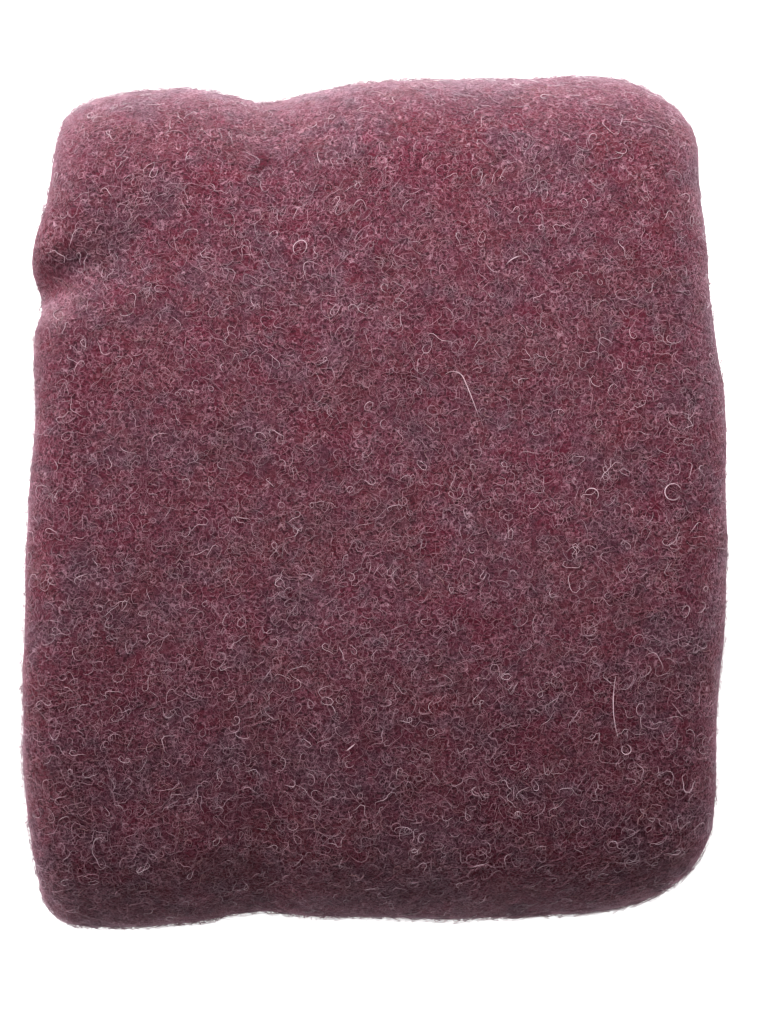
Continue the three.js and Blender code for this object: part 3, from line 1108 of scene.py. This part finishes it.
@dataclass(frozen=True)
class Heather:
    """The patches that the carding leaves: wools of different dyes, never quite mixed.

    Sizes are in millimetres. Both the batt and its nap read the same patches, so they agree. A patch is where
    the sum of a broad and a small noise has passed its edge, and each dye has its own shift.
    """

    broad: float = 24.0
    small: float = 7.0
    edge: Span = (0.94, 1.2)
    shifts: tuple[float, ...] = (0.0, 310.0, 670.0)
    body: str = "#6e4452"
    wine: str = "#6f3245"
    grey: str = "#664f5b"
    russet: str = "#724646"
    russet_share: float = 0.42

    def colour(self, tree: Tree, place: Socket) -> Socket:
        """Adds the batt's own colour at every place: its body colour, and patches of the other three."""
        wine, grey, russet = (self.patch(tree, shifted(tree, place, shift)) for shift in self.shifts)
        colour = mixed(tree, wine, linear_colour(self.body), linear_colour(self.wine))
        colour = mixed(tree, grey, colour, linear_colour(self.grey))
        return mixed(tree, times(tree, russet, self.russet_share), colour, linear_colour(self.russet))

    def patch(self, tree: Tree, place: Socket) -> Socket:
        """Adds one field of patches, as a value from 0 to 1."""
        both = arithmetic(tree, "ADD", clouds(tree, place, self.broad), clouds(tree, place, self.small))
        return ramp(tree, both, self.edge)


def with_rim_light(tree: Tree, rim_light: Socket, colour: Socket) -> Socket:
    """Adds the painted rim light to a colour: a gain that keeps its contrast, and a little of one pale mauve."""
    gained = mixed(tree, rim_light, colour, mixed(tree, 1.0, colour, RIM_LIGHT_GAIN, "MULTIPLY"))
    return mixed(tree, times(tree, rim_light, RIM_LIGHT_SHARE), gained, linear_colour(RIM_LIGHT_COLOUR))


def crease_shade(tree: Tree, place: Socket) -> Socket:
    """Adds how much painted shade falls into the pinch and the crease: the most that any row of the table gives,
    as an oval that fades out.
    """
    most: Socket | float = 0.0
    for row in CREASE_SHADE_PLACES:
        frame = {
            "Vector": place,
            "Location": (row["x"] * MM, row["y"] * MM, CROWN[-1]["height"] * MM),
            "Rotation": (0.0, 0.0, row["turn"]),
            "Scale": (row["reach_x"] * MM, row["reach_y"] * MM, CREASE_SHADE_DEPTH * MM),
        }
        oval = add_node(tree, "ShaderNodeMapping", {"vector_type": "TEXTURE"}, frame).outputs[0]
        away = on_places(tree, "LENGTH", oval).outputs["Value"]
        here = ramp(tree, away, (1.0, CREASE_SHADE_CORE), (0.0, row["share"]))
        most = arithmetic(tree, "MAXIMUM", here, most)
    return most


class Lay(Enum):
    """How the fibres of one layer lie: as long wandering strands or as separate loops."""

    STRANDS = "strands"
    LOOPS = "loops"


@dataclass(frozen=True)
class FibreLines:
    """One layer of fibre lines in the felt: the curls' size and the lines' width in millimetres."""

    lay: Lay
    curl: float
    width: float
    colour: str


@dataclass(frozen=True)
class FeltedWool:
    """Carded merino wool, lightly felted: a matt, springy surface of tangled fibre.

    It gives the eye a dark wine ground, darkened as painted shade for the shade that falls between the fibres,
    fine curly lines of paler fibre that cross each other, with the deeper layers painted darker as painted shade,
    small dark pores between them, which are painted shade, and slow patches of the dyes. Where the batt turns
    over into a wall, its rims are painted paler, a painted rim light for the light that shines through its spread
    fibres there, and a pinch and a crease are painted dark as painted shade. The fibre lines are drawn about 0.2
    mm wide, some eight times the width of a real fibre, because a single one is too fine to show. Sizes are in
    millimetres.
    """

    heather: Heather = Heather()
    lustre: Lustre = Lustre(0.95, 0.15, 0.6, 0.22, "#c9a6b6")
    shade: Colour = (0.42, 0.18, 0.24, 1.0)
    # The layers go from dark to light: the lower ones are painted darker, painted shade for fibres that lie
    # deeper in the felt
    layers: tuple[FibreLines, ...] = (
        FibreLines(Lay.STRANDS, 1.3, 0.2, "#5c2d3a"),
        FibreLines(Lay.LOOPS, 1.9, 0.2, "#653744"),
        FibreLines(Lay.STRANDS, 1.9, 0.2, "#704451"),
        FibreLines(Lay.LOOPS, 2.7, 0.2, "#7d5460"),
        FibreLines(Lay.STRANDS, 2.8, 0.19, "#966d79"),
        FibreLines(Lay.LOOPS, 3.6, 0.19, "#ae8a95"),
    )
    layer_shift: float = 91.0
    line_core: float = 0.25
    loop_radius: Span = (0.2, 0.6)
    loop_spread: Span = (0.2, 0.8)
    hue_share: float = 0.4
    cover: Span = (0.35, 1.0)
    cover_edge: Span = (0.3, 0.7)
    thin_place: float = 8.0
    kink: float = 0.8
    kink_size: float = 1.6
    pore: float = 0.85
    pore_edge: Span = (0.45, 0.32)
    pore_shade_share: float = 0.8
    pore_shade_colour: str = "#2c0c15"
    relief: float = 0.4
    relief_strength: float = 0.7

    def material(self) -> bpy.types.Material:
        """Builds the material."""
        material, tree = new_material("wool_carded_felted")
        place = add_node(tree, "ShaderNodeTexCoord").outputs["Object"]
        own = self.heather.colour(tree, place)
        kinked = self.kinked(tree, place)
        # Painted shade in the pinch and the crease: the ground takes the shade colour there, and the fibre lines
        # fade out
        crease_shaded = crease_shade(tree, kinked)
        # Painted shade: the ground between the fibre lines is the batt's own colour darkened by the shade
        colour = mixed(tree, 1.0, own, self.shade, "MULTIPLY")
        colour = mixed(tree, crease_shaded, colour, linear_colour(CREASE_SHADE_COLOUR))
        cover = ramp(tree, clouds(tree, place, self.thin_place), self.cover_edge, self.cover, soft=False)
        cover = times(tree, cover, arithmetic(tree, "SUBTRACT", 1.0, crease_shaded))
        height: Socket | float = 0.0
        for number, layer in enumerate(self.layers):
            line = self.lines(tree, shifted(tree, kinked, number * self.layer_shift), layer)
            hued = mixed(tree, self.hue_share, linear_colour(layer.colour), own)
            colour = mixed(tree, times(tree, line, cover), colour, hued)
            if layer.lay is Lay.STRANDS:  # the loops lie flat, and their relief would be slow to render
                height = arithmetic(tree, "MAXIMUM", line, height)
        # Painted shade: the pores are the dark gaps between the fibres, also sunk in the relief
        pore = ramp(tree, noise(tree, place, self.pore).outputs["Fac"], self.pore_edge)
        colour = mixed(tree, times(tree, pore, self.pore_shade_share), colour, linear_colour(self.pore_shade_colour))
        # Painted rim light, read from the batt's attribute
        rim_light = add_node(tree, "ShaderNodeAttribute", {"attribute_name": "rim_light"}).outputs["Fac"]
        relief = {
            "Strength": self.relief_strength,
            "Distance": self.relief * MM,
            "Height": arithmetic(tree, "SUBTRACT", height, pore),
        }
        bump = add_node(tree, "ShaderNodeBump", None, relief).outputs["Normal"]
        base = {"Base Color": with_rim_light(tree, rim_light, colour), "Normal": bump}
        end_in_shader(tree, base | self.lustre.inputs())
        return material

    def kinked(self, tree: Tree, place: Socket) -> Socket:
        """Adds places pushed about by a fine noise, so that rings become uneven curls."""
        push = on_places(tree, "SUBTRACT", noise(tree, place, self.kink_size).outputs["Color"], (0.5,) * 3)
        amount = (2 * self.kink * MM,) * 3
        return on_places(tree, "MULTIPLY_ADD", push.outputs[0], amount, place).outputs[0]

    def lines(self, tree: Tree, place: Socket, layer: FibreLines) -> Socket:
        """Adds one layer of fibre lines.

        Strands are the level lines of a smooth noise, where it is close to a half. The noise changes by about a
        third over its own size, which turns the line's width into how far from a half it may be. Loops are
        rings round the points of a Voronoi lattice, each with a radius of its own, cut off where the next
        point's cell begins.

        Args:
            tree: The material's nodes.
            place: Places on the piece.
            layer: The layer's curls.

        Returns:
            The socket that holds 1 on the lines and 0 between them.
        """
        level: Socket | float = 0.5
        if layer.lay is Lay.STRANDS:
            value = noise(tree, place, layer.curl).outputs["Fac"]
            edge = layer.width / layer.curl / 3
        else:
            curls = {"Vector": place, "Scale": 1 / (layer.curl * MM)}
            cells = add_node(tree, "ShaderNodeTexVoronoi", None, curls)
            value = cells.outputs["Distance"]
            level = ramp(tree, cells.outputs["Color"], self.loop_spread, self.loop_radius, soft=False)
            edge = layer.width / layer.curl / 2
        away = arithmetic(tree, "ABSOLUTE", arithmetic(tree, "SUBTRACT", value, level))
        return ramp(tree, away, (edge, edge * self.line_core))


@dataclass(frozen=True)
class DyedFibre:
    """Loose dyed wool fibre: crimped, matt, a little lustrous along its length.

    It gives the eye single curls of one dye, each in its own shade, painted darker towards the batt at both ends
    as painted shade, paler on the rims as painted rim light, and darker in the pinch and the crease as painted
    shade.
    """

    wool: Wool
    heather: Heather = Heather()
    lustre: Lustre = Lustre(0.8, 0.2, 0.4, 0.25, "#d8b5be")
    own_share: float = 0.65
    root_shade: float = 0.6
    crease_shade_share: float = 0.75

    def material(self) -> bpy.types.Material:
        """Builds the material: the fibre's own shade, its patch of the batt, ends darkened by painted shade,
        painted shade in the creases, and the painted rim light.
        """
        dye = self.wool.value
        material, tree = new_material(f"wool_fibre_dyed_{self.wool.name.lower()}")
        place = add_node(tree, "ShaderNodeTexCoord").outputs["Object"]
        tone, tip, rim_light = (
            add_node(tree, "ShaderNodeAttribute", {"attribute_name": name}).outputs["Fac"]
            for name in ("tone", "tip", "rim_light")
        )
        own = self.heather.colour(tree, place)
        colour = mixed(tree, tone, linear_colour(dye.dark), linear_colour(dye.light))
        colour = mixed(tree, self.own_share, own, colour)
        # Painted shade: both ends darken towards the batt's shaded ground where they dip into it
        root = ramp(tree, tip, (0.0, 1.0), (self.root_shade, 0.0), soft=False)
        colour = mixed(tree, root, colour, mixed(tree, 1.0, own, FeltedWool.shade, "MULTIPLY"))
        # Painted shade: the fibres darken where they lie in the pinch and the crease
        sunk_in_shade = times(tree, crease_shade(tree, place), self.crease_shade_share)
        colour = mixed(tree, sunk_in_shade, colour, linear_colour(CREASE_SHADE_COLOUR))
        end_in_shader(tree, {"Base Color": with_rim_light(tree, rim_light, colour)} | self.lustre.inputs())
        return material


@dataclass(frozen=True)
class PaleFloor:
    """Plain white card, lit well, so that it is almost white in the picture and throws light back up."""

    colour: str = "#f4f4f4"
    roughness: float = 0.9
    shine: float = 0.1
    glow: float = 0.95

    def material(self) -> bpy.types.Material:
        """Builds the material."""
        material, tree = new_material("card_white_matt")
        inputs = {
            "Base Color": linear_colour(self.colour),
            "Roughness": self.roughness,
            "Specular IOR Level": self.shine,
            "Emission Color": WHITE,
            "Emission Strength": self.glow,
        }
        end_in_shader(tree, inputs)
        return material


@dataclass(frozen=True)
class SoftLight:
    """A square soft light that faces the roll: its place and size in metres, and its power in watts."""

    name: str
    at: tuple[float, float, float]
    size: float
    power: float

    def build(self) -> None:
        """Adds the light."""
        lamp = bpy.data.lights.new(self.name, "AREA")
        lamp.size, lamp.energy = self.size, self.power
        obj = bpy.data.objects.new(self.name, lamp)
        obj.location = self.at
        obj.rotation_euler = (-Vector(self.at)).to_track_quat("-Z", "Y").to_euler()
        bpy.context.scene.collection.objects.link(obj)


@dataclass
class Studio:
    """The floor, the lights and the camera. Lengths are in metres."""

    floor_half: float = 3.0
    floor_drop: float = 0.0003
    camera_at: tuple[float, float, float] = (0.0036, -0.0022, 0.728)
    sensor: float = 36.0
    lens: float = 76.9
    clip: Span = (0.01, 20.0)
    lights: tuple[SoftLight, ...] = (
        SoftLight("key", (0.02, 0.385, 0.345), size=0.3, power=5.5),
        SoftLight("side", (-0.75, 0.05, 0.1), size=0.5, power=13.6),
        SoftLight("right", (0.75, 0.05, 0.1), size=0.5, power=4.6),
        SoftLight("fill", (-0.1, 0.1, 1.6), size=1.6, power=0.35),
    )
    surround: Span = (1.8, 0.02)
    surround_height: float = 0.42

    def build(self) -> None:
        """Sets up everything that isn't the roll."""
        half, low = self.floor_half, -self.floor_drop
        points = np.array([[-half, -half, low], [half, -half, low], [half, half, low], [-half, half, low]])
        floor = mesh_object("floor", points, np.arange(4), np.array([4]))
        floor.data.materials.append(PaleFloor().material())
        for light in self.lights:
            light.build()
        world = bpy.data.worlds.new("soft_white_room")
        world.use_nodes = True
        self.surroundings(world.node_tree)
        bpy.context.scene.world = world
        bpy.context.scene.view_settings.view_transform = "Standard"
        camera = bpy.data.cameras.new("overhead_camera")
        camera.sensor_width, camera.lens = self.sensor, self.lens
        camera.clip_start, camera.clip_end = self.clip
        overhead = bpy.data.objects.new("overhead_camera", camera)
        overhead.location = self.camera_at
        bpy.context.scene.collection.objects.link(overhead)
        bpy.context.scene.camera = overhead

    def surroundings(self, tree: Tree) -> None:
        """Makes the room white: bright all round at the height of the roll, and dim overhead."""
        tree.nodes.clear()
        toward = add_node(tree, "ShaderNodeTexCoord").outputs["Generated"]
        rise = add_node(tree, "ShaderNodeSeparateXYZ", None, {0: toward}).outputs["Z"]
        strength = ramp(tree, rise, (0.0, self.surround_height), self.surround)
        glow = add_node(tree, "ShaderNodeBackground", None, {"Color": WHITE, "Strength": strength})
        add_node(tree, "ShaderNodeOutputWorld", None, {"Surface": glow.outputs["Background"]})


NAPS: tuple[FibreNap, ...] = (
    FibreNap(Wool.WINE, 2600, 11),
    FibreNap(Wool.ROSE, 3400, 12),
    FibreNap(Wool.MAUVE, 3700, 13),
    FibreNap(Wool.SLATE, 2300, 14),
    FibreNap(Wool.PALE, 1700, 15, segments=10),
    FibreNap(Wool.RUSSET, 700, 16),
    FibreNap(
        Wool.BACKLIT_FRINGE,
        7400,
        17,
        segments=4,
        length=(2.5, 5.5),
        width=(0.08, 0.13),
        lift=(0.3, 1.3),
        high_share=0.15,
        high_lift=1.9,
        steep_from=0.7,
        under=0.0,
    ),
)


def main() -> None:
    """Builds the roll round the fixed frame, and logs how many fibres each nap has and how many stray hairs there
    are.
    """
    logging.basicConfig(level=logging.INFO, format="%(name)s: %(message)s")
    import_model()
    Studio().build()
    form = WoundForm()
    batt = WoundBatt(form)
    skin = batt.build()
    batt.obj.data.materials.append(FeltedWool().material())
    for nap in NAPS:
        nap.build(skin)
        nap.obj.data.materials.append(DyedFibre(nap.wool).material())
        LOG.info("%s: %d fibres", nap.obj.name, nap.count)
    hairs = StrayHairs()
    hairs.build(skin)
    hairs.obj.data.materials.append(DyedFibre(Wool.PALE).material())
    LOG.info("%s: %d hairs", hairs.obj.name, len(hairs.hairs))


if __name__ == "__main__":
    main()
